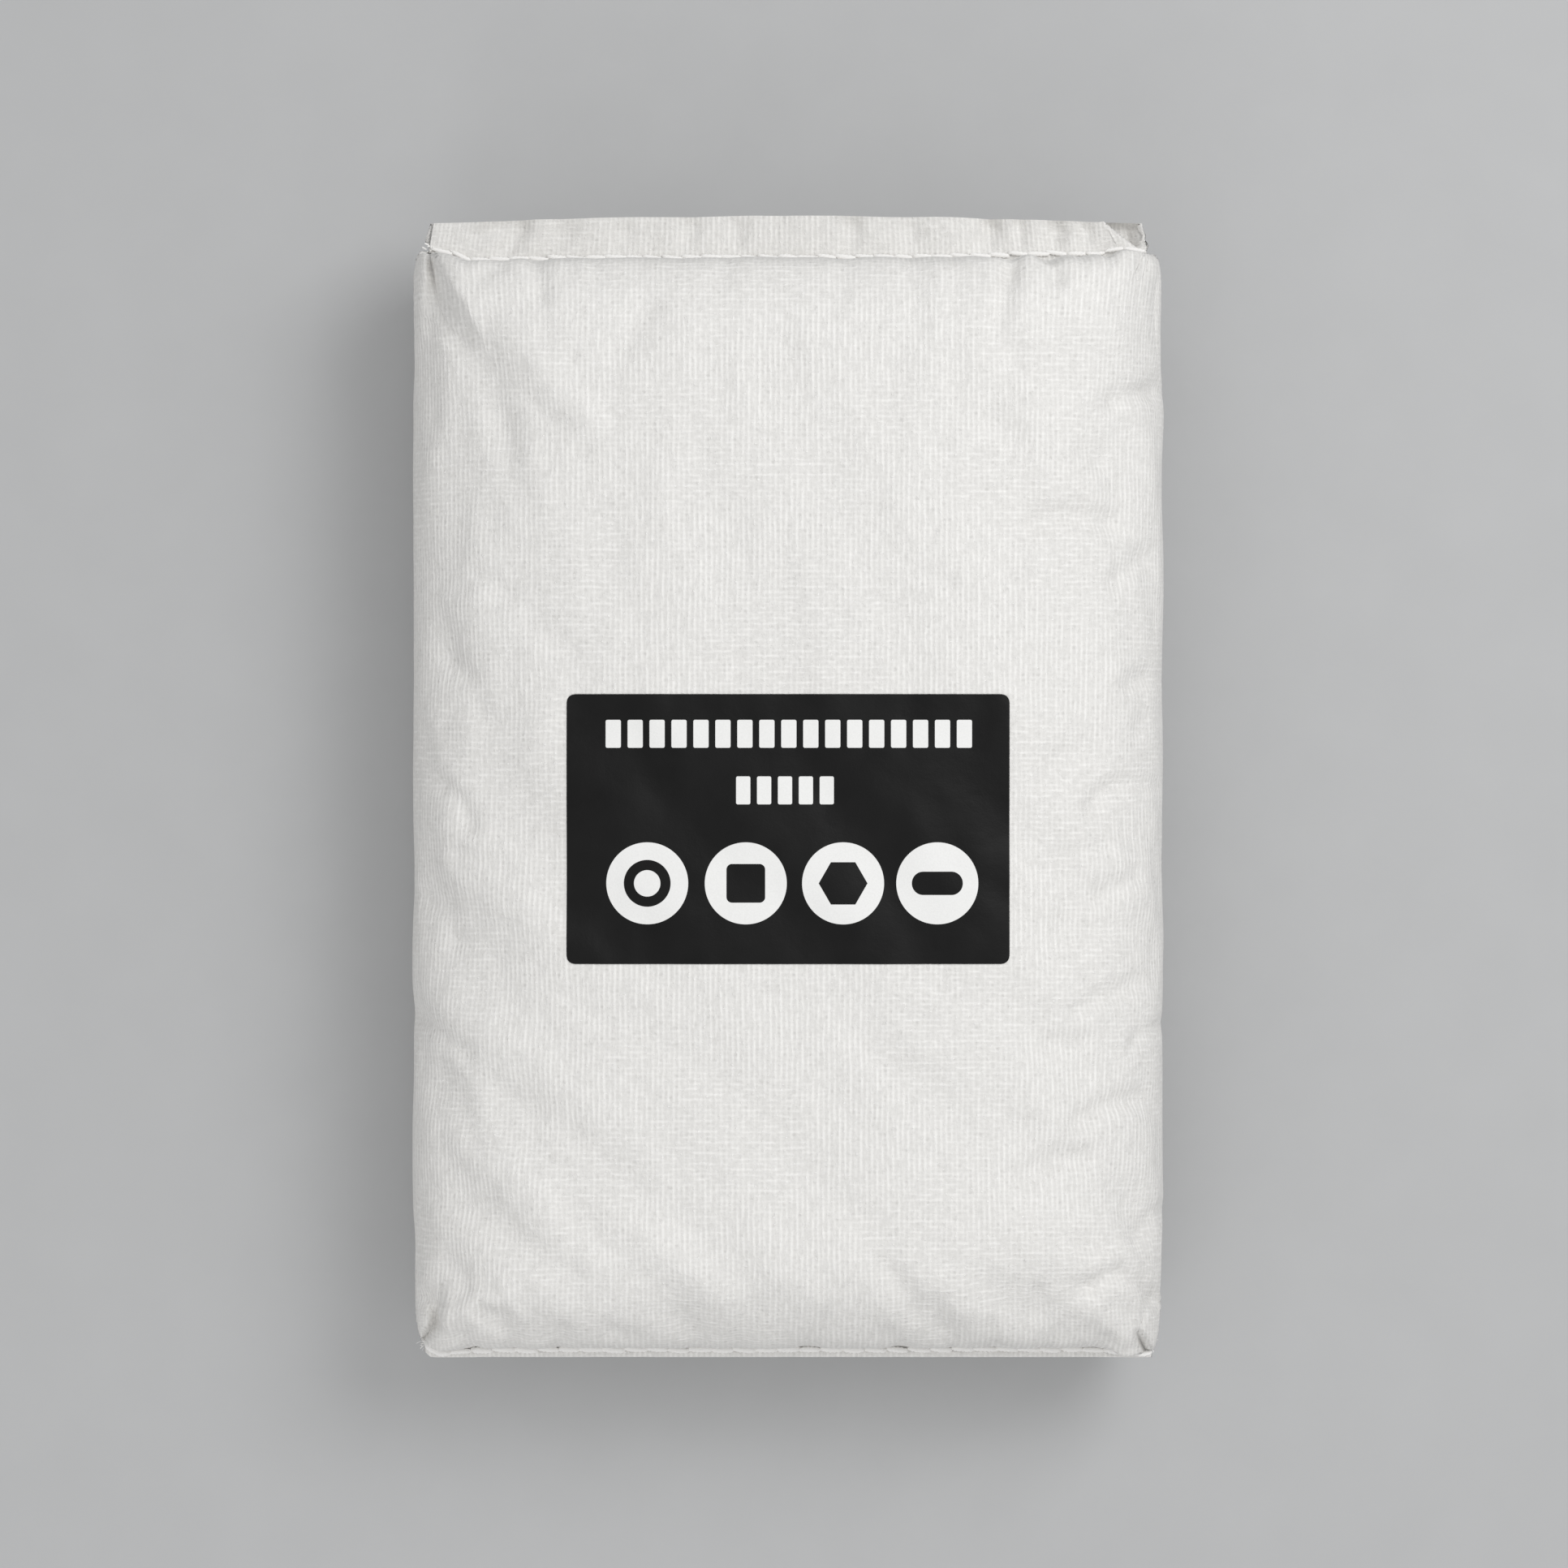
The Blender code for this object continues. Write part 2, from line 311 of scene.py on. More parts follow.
def cloth_grid(scale):
    """Distances around (0 at the upper middle) and along the sack of the grid's columns and rows."""
    half = np.concatenate([
        [0.0],
        graded(0, UPPER_RUN, UPPER_STEP * scale, SIDE_STEP * scale),
        graded(UPPER_RUN, GIRTH / 2, SIDE_STEP * scale, UNDER_STEP * scale),
    ])
    around = np.concatenate([-half[:0:-1], half[:-1]])
    along = np.concatenate([
        [0.0],
        graded(0, NEAR_SEAM, SEAM_STEP * scale, MIDDLE_STEP * scale),
        graded(NEAR_SEAM, BODY_RUN - NEAR_SEAM, MIDDLE_STEP * scale, MIDDLE_STEP * scale),
        graded(BODY_RUN - NEAR_SEAM, BODY_RUN, MIDDLE_STEP * scale, SEAM_STEP * scale),
    ])
    return around, along


# Corner creases: paths of x, y, depth, and the width of the bank left and right of the path, in millimetres

CREASES = [
    [(-143.6, 213.5, -0.5, 6, 1.5), (-140.0, 205, -2.5, 20, 2.5), (-133, 197.5, -3.5, 26, 6),
     (-126.5, 190, -3.5, 26, 8), (-123, 181, -2.0, 20, 6), (-117, 168, -0.2, 10, 6)],
    [(-145.4, 214.5, 5.0, 1.6, 1.6), (-142.7, 209, 10.0, 2.4, 2.2), (-140.8, 201.5, 9.5, 5.5, 3.2),
     (-138.7, 192, 8.0, 9.5, 8), (-135.5, 184, 6.5, 11, 10), (-129, 177.5, 3.0, 9, 9),
     (-124, 172, 0.2, 5, 6)],
    [(-149.5, 190.5, 1.0, 2, 3), (-144, 186.5, 1.6, 1.5, 4), (-138, 182, 0.4, 1, 3)],
    [(-145.6, -222, 4.5, 1.4, 1.6), (-143.9, -218.5, 8.0, 1.8, 2.2), (-140.6, -212, 8.5, 2.4, 4.2),
     (-139.8, -208, 8.0, 5.0, 4.8), (-138.8, -203, 6.0, 8, 4.0), (-138.0, -197, 1.0, 7, 4)],
    [(138.8, -216.6, 4.0, 1.7, 1.7), (141.3, -220.8, 11, 2.3, 2.4), (143.4, -224.4, 9.0, 2.2, 2.2)],
    [(140.6, -204, 0.4, 2, 2), (141.2, -209.5, 2.0, 2.5, 2.5), (139.8, -214, 0.8, 2, 2)],
    [(141.6, 209.5, 2.4, 1.1, 1.1), (139.4, 205.5, 3.6, 1.4, 1.6), (137.0, 201.0, 0.8, 1.2, 1.4)],
    [(143.6, 208.5, 1.6, 1.0, 1.0), (141.8, 204.5, 2.4, 1.2, 1.3), (140.4, 200.5, 0.4, 1.0, 1.2)],
    [(148.0, 204, 0.6, 1, 3), (146.0, 197, 3.6, 2.2, 4), (145.6, 186, 2.6, 2.2, 4), (146.4, 175, 3.6, 2.2, 3),
     (148.4, 167, 0.3, 1, 1)],
]

# Soft folds: slope and half width of the bank turned away from the light, and that bank's path in millimetres

FOLDS = [
    (0.26, 9, (-121, 177), (-113, 163), (-109, 145)), (-0.26, 9, (-102, 180), (-88, 160), (-76, 150)),
    (0.16, 4.5, (-97, 155), (-86, 143), (-78, 136)), (0.15, 4, (-83, 173), (-76, 160), (-66, 147)),
    (0.2, 8, (-108, 145), (-107, 126)), (0.5, 4.2, (-97, 209), (-95, 197)),
    (0.18, 4, (-94, 194), (-93, 178)), (0.28, 4, (-122, 202), (-112, 208)),
    (0.16, 4, (-74, 209), (-74, 200)), (0.28, 6, (-52, 191), (-62, 175)),
    (0.3, 4, (-121, 86), (-110, 80), (-107, 78)), (-0.2, 6, (-132, 76), (-128, 73)),
    (0.18, 6, (-97, 67), (-84, 57)), (0.36, 4, (-133, 53), (-126, 47)),
    (0.28, 4.5, (-128, 33), (-112, 29)), (0.52, 3.6, (-134, 3), (-127, -3), (-123, -13)),
    (0.28, 4.5, (-126, -24), (-110, -29)), (-0.22, 5, (-133, -28), (-127, -37)),
    (0.32, 4, (-142, -41), (-136, -45)), (0.24, 2.5, (-132, -60), (-119, -60)),
    (0.1, 3.5, (-115, -65), (-110, -75)), (0.42, 3.2, (-144, -91), (-137, -95), (-125, -104)),
    (0.18, 4, (-85, -80), (-72, -91)), (0.22, 4.6, (-124, -132), (-118, -141), (-110, -148)),
    (0.22, 6, (-143, -86), (-128, -100), (-100, -125)),
    (0.14, 7, (-100, -112), (-75, -135), (-55, -158)), (0.12, 7, (-60, -85), (-30, -110)),
    (0.15, 8, (60, -110), (78, -136), (92, -160)), (0.14, 7, (-82, -160), (-62, -190)),
    (0.2, 6, (98, -193), (112, -206), (126, -219)), (0.16, 8, (10, -140), (30, -165), (44, -188)),
    (0.18, 4.5, (-109, -117), (-96, -125), (-82, -134)), (0.32, 1.8, (-77, -155), (-64, -165)),
    (0.22, 2.2, (-70, -120), (-59, -127)), (0.26, 3.8, (-132, -187), (-127, -190), (-125, -197)),
    (-0.45, 5, (-120, -200), (-116, -201)), (0.6, 3.6, (-142, -201), (-138, -204), (-137, -210)),
    (0.6, 4.2, (-119, -204), (-112, -209), (-107, -217)), (-0.25, 4, (-111, -194), (-104, -206)),
    (-0.65, 6, (-131, -206), (-125, -204)), (0.4, 3, (-127, -216), (-124, -223)),
    (0.3, 3.2, (-83, -177), (-82, -190)), (0.36, 4, (-89, -219), (-87, -213)),
    (0.36, 4, (-68, -213), (-60, -216)), (0.32, 4, (-40, -208), (-34, -219)),
    (0.3, 4.4, (-12, -203), (-18, -218)), (0.34, 4, (16, -208), (10, -221)),
    (0.6, 4.4, (90, 212), (88, 205)), (0.7, 4.4, (90, 204), (87, 195), (85, 188)),
    (0.7, 4.6, (105, 211), (108, 203)), (0.35, 3, (116, 213), (119, 208)),
    (0.6, 3, (128, 214), (130, 208)), (0.2, 5, (50, 209), (52, 183)),
    (0.2, 4, (68, 209), (67, 191)), (0.18, 5, (24, 209), (22, 192)),
    (0.16, 4, (-22, 209), (-26, 196)), (0.6, 4, (131, 155), (147, 159)),
    (0.34, 5.5, (85, 181), (92, 173)), (0.34, 5, (82, 147), (91, 141)),
    (0.4, 3.5, (118, 136), (125, 131)), (0.7, 5.5, (101, 107), (113, 111), (130, 107)),
    (0.5, 4.4, (142, 93), (131, 83)), (0.34, 2.4, (51, 87), (58, 83), (66, 80)),
    (0.15, 3, (66, 80), (80, 70)), (0.5, 4, (145, 46), (137, 43)), (0.3, 3, (144, 30), (141, 24)),
    (0.32, 6, (106, 11), (121, 18)), (0.6, 4, (133, 3), (127, 1), (122, -6)),
    (0.35, 2.6, (138, 4), (147, 2)), (0.4, 3.5, (112, -24), (127, -22)),
    (0.42, 4.5, (139, -33), (126, -40)), (0.34, 6, (112, -51), (124, -54)),
    (0.55, 4.2, (139, -76), (126, -80), (116, -86)), (0.26, 2.4, (123, -84), (115, -86)),
    (0.5, 2.6, (149, -93), (141, -96), (137, -102)), (0.5, 3.6, (119, -98), (105, -99)),
    (0.75, 4.6, (139, -121), (128, -123), (117, -129)), (0.55, 5.6, (121, -143), (110, -143), (98, -150)),
    (0.45, 3.6, (149, -167), (141, -176)), (0.38, 4.5, (110, -178), (129, -178)),
    (0.95, 4, (121, -196), (128, -191), (135, -190), (142, -195), (147, -201)),
    (-0.75, 8.5, (126, -204), (137, -213)), (0.16, 4, (120, -207), (125, -216)),
    (0.45, 3, (128, -217), (131, -223)), (0.3, 4, (105, -219), (109, -215)),
    (0.4, 3.4, (101, -198), (100, -207)), (0.36, 3.2, (83, -220), (81, -211)),
    (0.4, 3.2, (68, -220), (67, -213)), (0.4, 3.4, (60, -201), (62, -211)),
    (0.36, 5.4, (42, -186), (48, -195), (53, -203)), (0.34, 4, (41, -214), (47, -221)),
    (0.18, 5, (48, -84), (60, -94)), (0.22, 3, (91, -184), (90, -196)),
    (0.2, 1.8, (84, -126), (90, -131), (102, -131)), (0.5, 3.6, (-106, 225), (-111, 216)),
    (0.28, 3, (-124, 222), (-114, 226)), (0.22, 4, (-88, 224), (-90, 217)),
    (0.24, 4, (-64, 224), (-66, 217)), (0.34, 4, (-37, 226), (-40, 217)),
    (0.24, 3.5, (-18, 225), (-18, 218)), (0.4, 3.6, (28, 226), (27, 216)),
    (0.22, 3.6, (52, 225), (51, 218)), (0.7, 4, (84, 226), (82, 216)), (0.48, 3, (96, 226), (95, 218)),
    (0.5, 4, (111, 225), (109, 217)), (0.4, 3.5, (123, 224), (121, 217)),
]


# A dent's depth as a share of its steepest slope times its reach, how far its bottom lies from
# its bank as a share of its reach, and a crease's power, where more is rounder at its rim
DENT_DEPTH = 1.17
DENT_OFFSET = 0.5
CREASE_POWER = 1.15


def pull_waves(lean, count=36):
    """Shallow waves across one direction of pull: their rates along x and y, phase and height."""
    waves = []
    for _ in range(count):
        length = RANDOM.uniform(*WAVE_LENGTHS)
        angle = lean + RANDOM.uniform(-WAVE_SPREAD, WAVE_SPREAD)
        rate = 2 * math.pi / length
        height = WAVE_STEEPNESS * length / math.sqrt(count) / math.pi
        waves.append((rate * math.cos(angle), rate * math.sin(angle), RANDOM.uniform(0, 2 * math.pi), height))
    return waves


FOOT_PULL = pull_waves(math.radians(48))
MOUTH_PULL = pull_waves(math.radians(8))


def pulled(x, y):
    """Height of the long shallow waves: slanting over the foot half, nearly upright over the mouth half."""
    towards_foot = np.clip(0.5 - y / WAVE_CHANGE_REACH, 0, 1)
    near_foot = np.clip((-y - STRONG_WAVES_START) / STRONG_WAVES_REACH, 0, 1)
    towards_side = WAVES_IN_MIDDLE + WAVES_AT_SIDES * (x / HALF_WIDTH) ** 2
    height = np.zeros_like(x)
    foot_share = (WAVES_AT_FOOT + near_foot) * towards_foot
    for waves, share in ((FOOT_PULL, foot_share), (MOUTH_PULL, 1 - towards_foot)):
        for rate_x, rate_y, phase, swing in waves:
            height += share * swing * np.sin(rate_x * x + rate_y * y + phase)
    return height * towards_side


def nearest_on_path(x, y, stops):
    """Vector from the nearest place on a path, the side of the path, and the path's own values there."""
    nearest = np.full_like(x, np.inf)
    off_x, off_y, side = np.zeros_like(x), np.zeros_like(x), np.zeros_like(x)
    values = np.zeros(x.shape + (stops.shape[1] - 2,))
    for start, step in zip(stops[:-1], np.diff(stops, axis=0)):
        share = np.clip(((x - start[0]) * step[0] + (y - start[1]) * step[1]) / (step[:2] @ step[:2]), 0, 1)
        away_x = x - start[0] - share * step[0]
        away_y = y - start[1] - share * step[1]
        closer = np.hypot(away_x, away_y) < nearest
        nearest = np.where(closer, np.hypot(away_x, away_y), nearest)
        off_x, off_y = np.where(closer, away_x, off_x), np.where(closer, away_y, off_y)
        side = np.where(closer, step[0] * away_y - step[1] * away_x, side)
        values = np.where(closer[..., None], start[2:] + share[..., None] * step[2:], values)
    return off_x, off_y, side, values


def fold_depth(x, y):
    """Depth of the soft folds at points of the upper face, each deepest beyond its shaded bank."""
    depth = np.zeros_like(x)
    for slope, half_width, *bank in FOLDS:
        bottom = (np.array(bank, float) - DENT_OFFSET * half_width) * MILLIMETRE
        off_x, off_y, _, _ = nearest_on_path(x, y, bottom)
        reach = half_width * MILLIMETRE
        depth += DENT_DEPTH * slope * reach * np.exp(-(off_x ** 2 + off_y ** 2) / reach ** 2)
    return depth


def crease_depth(x, y):
    """Depth of the corner creases, each a plain slope on both sides of its path."""
    depth = np.zeros_like(x)
    for path in CREASES:
        off_x, off_y, side, values = nearest_on_path(x, y, np.array(path, float) * MILLIMETRE)
        width = np.where(side > 0, values[..., 1], values[..., 2])
        bank = np.clip(1 - np.hypot(off_x, off_y) / width, 0, 1)
        depth += values[..., 0] * bank ** CREASE_POWER
    return depth


def grid_normals(points):
    """Outward normals of a closed tube of points."""
    across = np.roll(points, -1, 1) - np.roll(points, 1, 1)
    along = np.gradient(points, axis=0)
    normals = np.cross(across, along)
    return normals / np.maximum(np.linalg.norm(normals, axis=2, keepdims=True), 1e-12)


def folded(points):
    """The same points with the soft folds pressed into the upper face."""
    normals = grid_normals(points)
    facing_up = np.clip(normals[:, :, 2] * 3 + 0.6, 0, 1)
    x, y = points[:, :, 0], points[:, :, 1]
    facing_well_up = np.clip(normals[:, :, 2] * 2.5 - 0.9, 0, 1)
    depth = fold_depth(x, y) * facing_up - pulled(x, y) * facing_well_up
    depth[0] = depth[-1] = 0
    return points - normals * depth[:, :, None]


def creased(points):
    """The same points slid over the surface towards the corner creases, and those pressed straight down."""
    result = points.copy()
    for path in CREASES:
        normals = grid_normals(result)
        x, y = result[:, :, 0], result[:, :, 1]
        off_x, off_y, _, _ = nearest_on_path(x, y, np.array(path, float) * MILLIMETRE)
        share = np.clip(np.hypot(off_x, off_y) / CREASE_DRAW, 1e-6, 1) ** 0.8 - 1
        share *= np.clip(normals[:, :, 2] * 4 - 1, 0, 1)
        share[0] = share[-1] = 0
        lift = (normals[:, :, 0] * off_x + normals[:, :, 1] * off_y) / np.maximum(normals[:, :, 2], 0.2)
        result += np.stack([off_x, off_y, -lift], 2) * share[:, :, None]
    upper = np.clip((result[:, :, 2] - SEAM_HEIGHT) / CREASE_FULL_HEIGHT, 0, 1)
    upper[0] = upper[-1] = 0
    result[:, :, 2] -= np.minimum(crease_depth(result[:, :, 0], result[:, :, 1]) * upper,
                                  np.maximum(result[:, :, 2] - SEAM_HEIGHT, 0))
    return result


# Cloth simulation: the sack's cloth has a little spare length, and buckles over its filling

def softened(field, passes):
    """A closed field with its finest waves smoothed out."""
    for _ in range(passes):
        field = (np.roll(field, 1, 1) + 2 * field + np.roll(field, -1, 1)) / 4
        padded = np.concatenate([field[:1], field, field[-1:]])
        field = (padded[:-2] + 2 * field + padded[2:]) / 4
    return field


def resampled(field, old_around, old_along, new_around, new_along):
    """Vectors of a coarse closed grid at the places of a finer one."""
    turns = np.append(old_around, old_around[0] + GIRTH)
    wrapped = np.concatenate([field, field[:, :1]], axis=1)
    result = np.zeros((len(new_along), len(new_around), 3))
    for axis in range(3):
        across = np.stack([np.interp(new_around, turns, line) for line in wrapped[:, :, axis]])
        result[:, :, axis] = np.stack([np.interp(new_along, old_along, line) for line in across.T], 1)
    return result


def smooth_noise(around, along, wave_around, wave_along, waves=60):
    """Even random field on the closed grid, from a sum of waves about these lengths long."""
    field = np.zeros((len(along), len(around)))
    for _ in range(waves):
        turns = max(1, round(GIRTH / wave_around * RANDOM.uniform(0.6, 1.5)))
        rate = RANDOM.uniform(-1, 1) * 2 * math.pi / wave_along
        phase = RANDOM.uniform(0, 2 * math.pi)
        field += np.cos(2 * math.pi * turns * around[None, :] / GIRTH + rate * along[:, None] + phase)
    return field / math.sqrt(waves / 2)


def spare_cloth(around, along):
    """Spare share of the cloth's length, around and along, at each point."""
    reach = np.abs(around)[None, :]
    run = along[:, None]
    at_seams = (SPARE_AT_SEAMS * np.exp(-(BODY_RUN - run) / SPARE_SEAM_REACH)
                + SPARE_AT_SEAMS * np.exp(-run / SPARE_SEAM_REACH))
    at_sides = np.exp(-((reach - UPPER_RUN) / SPARE_SIDE_REACH) ** 2)
    patches = np.clip(0.5 + smooth_noise(around, along, SPARE_PATCH, SPARE_PATCH), 0, 2.5)
    spare_around = SPARE_EVERYWHERE * patches + at_seams
    spare_along = SPARE_EVERYWHERE * patches + SPARE_AT_SIDES * at_sides * patches
    return spare_around, spare_along


def bilaplacian(field):
    """Bending of a displacement field on the closed grid."""
    for _ in range(2):
        padded = np.concatenate([field[:1], field, field[-1:]])
        field = (padded[2:] + padded[:-2] + np.roll(field, 1, 1) + np.roll(field, -1, 1)) / 4 - field
    return field


def relaxed(points, rest_shape, spare_around, spare_along, steps):
    """Position-based cloth: edges take their spare length, bending and the filling resist."""
    start = points.copy()
    normals = grid_normals(rest_shape)
    families = []
    for down, right in ((0, 1), (1, 0), (1, 1), (1, -1)):
        last = len(points) - down
        rest = np.linalg.norm(np.roll(rest_shape, -right, 1)[down:] - rest_shape[:last], axis=2)
        wide = spare_around[:last] * abs(right) + spare_along[:last] * down
        families.append((down, right, last, rest * (1 + wide / (abs(right) + down))))
    current = points.copy()
    previous = points.copy()
    for _ in range(steps):
        guess = current + MOMENTUM * (current - previous)
        previous = current
        push = np.zeros_like(guess)
        for down, right, last, rest in families:
            edge = np.roll(guess, -right, 1)[down:] - guess[:last]
            length = np.linalg.norm(edge, axis=2)
            change = edge * (0.5 * (length - rest) / np.maximum(length, 1e-9))[:, :, None]
            push[:last] += change
            push[down:] -= np.roll(change, right, 1)
        moved = guess + push * PUSH_SHARE - start
        moved -= BENDING * bilaplacian(moved)
        moved -= FILLING * moved
        lift = np.sum(moved * normals, axis=2)
        moved += normals * (np.clip(lift, -SWING_LIMIT, SWING_LIMIT) - lift)[:, :, None]
        moved[0] = moved[-1] = 0
        current = start + moved
        current[:, :, 2] = np.maximum(current[:, :, 2], 0)
    return current


def creased_sack(around, along):
    """Points of the sack's cloth after its simulation, first in broad folds and then in finer ones."""
    fine = folded(filled_shape(around, along))
    change = np.zeros_like(fine)
    before = (around, along)
    for step in (COARSE_LEVEL, FINER_LEVEL):
        level_around, level_along = cloth_grid(step.scale)
        smooth = filled_shape(level_around, level_along)
        level = folded(smooth)
        spare_around, spare_along = spare_cloth(level_around, level_along)
        start = level + resampled(change, *before, level_around, level_along)
        noise = smooth_noise(level_around, level_along, step.wave, step.wave)[:, :, None]
        start[1:-1] += (grid_normals(level) * noise * step.nudge)[1:-1]
        settled = relaxed(start, smooth, spare_around, spare_along, step.steps)
        change = settled - level
        before = (level_around, level_along)
    change = softened(resampled(change, *before, around, along), 3)
    edge_share = np.clip(2.5 * np.abs(grid_normals(fine)[:, :, 2:]), 0.35, 1)
    points = fine + change * edge_share
    points[:, :, 2] = np.maximum(points[:, :, 2], 0)
    return creased(points)


# Hems beyond the two seams

def between(x, stops):
    """Value at x on straight lines between stops of x and value, all in millimetres."""
    places, values = zip(*stops)
    return np.interp(x / MILLIMETRE, places, values) * MILLIMETRE


def pucker_waves(x):
    """Height of the gathers that the mouth's stitches pull into both layers."""
    height = np.zeros_like(x)
    for place, width, depth in MOUTH_GATHERS:
        height -= depth * MILLIMETRE * np.exp(-((x / MILLIMETRE - place) / width) ** 2)
    return height


def gathered(points):
    """The body with both seams shifted and gathered as sewn."""
    result = points.copy()
    from_mouth = MOUTH_SEAM_Y - points[:, :, 1]
    near = np.exp(-(from_mouth / MOUTH_SHIFT_REACH) ** 2)
    result[:, :, 1] += between(points[:, :, 0], MOUTH_WANDER) * near
    near = np.exp(-((points[:, :, 1] - FOOT_SEAM_Y) / FOOT_SHIFT_REACH) ** 2)
    result[:, :, 1] += between(points[:, :, 0], FOOT_WANDER) * near
    reach = np.exp(-np.maximum(from_mouth, 0) / GATHER_REACH)
    reach = reach * (points[:, :, 2] > SEAM_HEIGHT - GATHER_BELOW_SEAM)
    result[:, :, 2] += pucker_waves(points[:, :, 0]) * reach
    return result


def pinched(distance, stitch_margin):
    """Half thickness of the two layers at this distance past the body, least at the stitches."""
    return SEAM_HALF_THICKNESS * (1 - PINCH * np.exp(-((distance - stitch_margin) / PINCH_REACH) ** 2))


def wave(x, spacing, phase=0.0):
    """A sine along a hem that turns by one radian in each spacing, in millimetres."""
    return np.sin(x / (spacing * MILLIMETRE) + phase)


def mouth_hem(seam_row, around):
    """Rows of the open raw hem beyond the mouth's stitches."""
    x, y, z = seam_row.T
    layer = np.clip((z - SEAM_HEIGHT - pucker_waves(x)) / SEAM_HALF_THICKNESS, -1, 1)
    edge = MOUTH_STITCH_Y + MOUTH_HEM_DEPTH - MOUTH_EDGE_CURVE * (x / MOUTH_HEM_HALF_WIDTH) ** 2
    edge += MOUTH_EDGE_RIPPLE * wave(x, 8.5) * wave(x, 31)
    sway = MOUTH_HEM_SWAY * wave(x, 19, 0.6) + MOUTH_HEM_FLUTTER * wave(x, 4.2, 1.5 * wave(x, 17))
    depth = MOUTH_STITCH_MARGIN + MOUTH_HEM_DEPTH
    rows = []
    for distance in np.append(MOUTH_FIRST_ROWS, np.linspace(MOUTH_EVEN_ROWS_START, depth, 12)):
        share = distance / depth
        place = y + (edge - y) * share
        flare = pinched(distance, MOUTH_STITCH_MARGIN) * (1 + MOUTH_HEM_FLARE * share ** 1.5)
        lift = pucker_waves(x) * (1 - 0.5 * share) + sway * share ** 1.2
        lift -= MOUTH_HEM_FOLDING * fold_depth(x, place) * share
        row = np.stack([x * (1 - MOUTH_HEM_TAPER * share), place, SEAM_HEIGHT + lift + layer * flare], 1)
        rows.append(split_ends(turned_corner(row, around, share), around, share))
    return rows


def split_ends(row, around, share):
    """The row with its back layers shifted outward at both ends, their edge standing up beyond a slit."""
    left_gap = min(1.0, max(0.0, share * 5 - 1)) * (1.4 - 0.8 * share)
    right_gap = sum(slit.gape * math.exp(-((share - slit.place) / slit.reach) ** 2) for slit in RIGHT_SLITS)
    result = row.copy()
    for side, gap in ((-1, left_gap), (1, right_gap)):
        back = side * around > UPPER_RUN
        reach = side * row[:, 0]
        from_end = np.where(back, reach[back].max() - reach, 1.0)
        weight = gap * np.clip(1 - from_end / END_REACH, 0, 1)
        rim = np.clip(1 - from_end / END_RIM, 0, 1)
        result[:, 0] += side * END_SHIFT * weight
        result[:, 2] += (END_STAND * rim - END_SINK) * weight
    return result


def turned_corner(row, around, share):
    """The front layers' corner at +X tucked away, the back layers behind it sunk in their own shadow."""
    fold = (TURN_END - TURN_START) / np.linalg.norm(TURN_END - TURN_START)
    outward = np.array([-fold[1], fold[0]])
    beyond = (row[:, :2] - TURN_START) @ outward
    front = np.abs(around) <= UPPER_RUN
    on_fold = np.abs(beyond) < TURN_SNAP
    turned = ((beyond > 0) | on_fold) & front & (row[:, 0] > TURN_LEAST_X)
    result = row.copy()
    result[:, :2] -= np.where(turned, np.where(on_fold, 1.0, TURN_BACK) * beyond, 0)[:, None] * outward
    result[:, 2] -= np.where(turned, np.clip(beyond, 0, TURN_SINK), 0)
    pit = np.clip((row[:, 0] - PIT_START) / PIT_START_BANK, 0, 1)
    pit *= np.clip((PIT_END - row[:, 0]) / PIT_END_BANK, -PIT_END_RISE, 1)
    pit *= np.clip(beyond / PIT_FOLD_BANK + 1, 0, 1)
    pit *= 1 - 0.9 * max(0.0, (share - 0.9) / 0.1)
    result[:, 2] -= np.where(front, 0, PIT_DEPTH * pit)
    return result


def foot_hem(seam_row):
    """Rows of the narrow closed hem beyond the foot's stitches, its edge rolled into a bead."""
    x, y, z = seam_row.T
    layer = (z - SEAM_HEIGHT) / SEAM_HALF_THICKNESS
    depth = FOOT_SEAM_Y - SACK_LOW[1]
    bead_radius = (depth - FOOT_STITCH_MARGIN) / 2
    rows = []
    for distance in np.append(FOOT_FIRST_ROW, np.linspace(FOOT_STITCH_MARGIN, depth, 10)):
        from_bead = (distance - depth + bead_radius) / bead_radius
        bead = bead_radius * math.sqrt(max(0.001, 1 - from_bead ** 2))
        half = bead if from_bead > -0.8 else pinched(distance, FOOT_STITCH_MARGIN)
        place = np.maximum(y - distance, SACK_LOW[1])
        rows.append(np.stack([x * (1 - FOOT_HEM_TAPER * distance), place, SEAM_HEIGHT + layer * half], 1))
    return rows


# Meshes

def new_object(data):
    """A mesh, light or camera as an object in the scene."""
    piece = bpy.data.objects.new(data.name, data)
    bpy.context.scene.collection.objects.link(piece)
    return piece


def mesh_object(name, points, faces):
    """A smooth mesh object from an array of points and a list of faces."""
    mesh = bpy.data.meshes.new(name)
    mesh.from_pydata(points.tolist(), [], faces)
    mesh.shade_smooth()
    return new_object(mesh)


def corner_points(piece):
    """The number of the point at each corner of each face."""
    corners = np.zeros(len(piece.data.loops), np.int32)
    piece.data.loops.foreach_get("vertex_index", corners)
    return corners


def add_map(piece, places):
    """A UV map from two shares for each corner of each face."""
    layer = piece.data.uv_layers.new(name="OFBake")
    layer.data.foreach_set("uv", places.reshape(-1).astype(np.float32))


def add_tube_map(piece, across, along):
    """A UV map from two shares a point, with the closing column's share set to 1."""
    corners = corner_points(piece)
    quads = np.stack([across[corners], along[corners]], 1).reshape(-1, 4, 2)
    wraps = quads[:, :, 0].max(1) - quads[:, :, 0].min(1) > 0.5
    quads[:, :, 0] = np.where(wraps[:, None] & (quads[:, :, 0] < 0.5), 1.0, quads[:, :, 0])
    add_map(piece, quads)


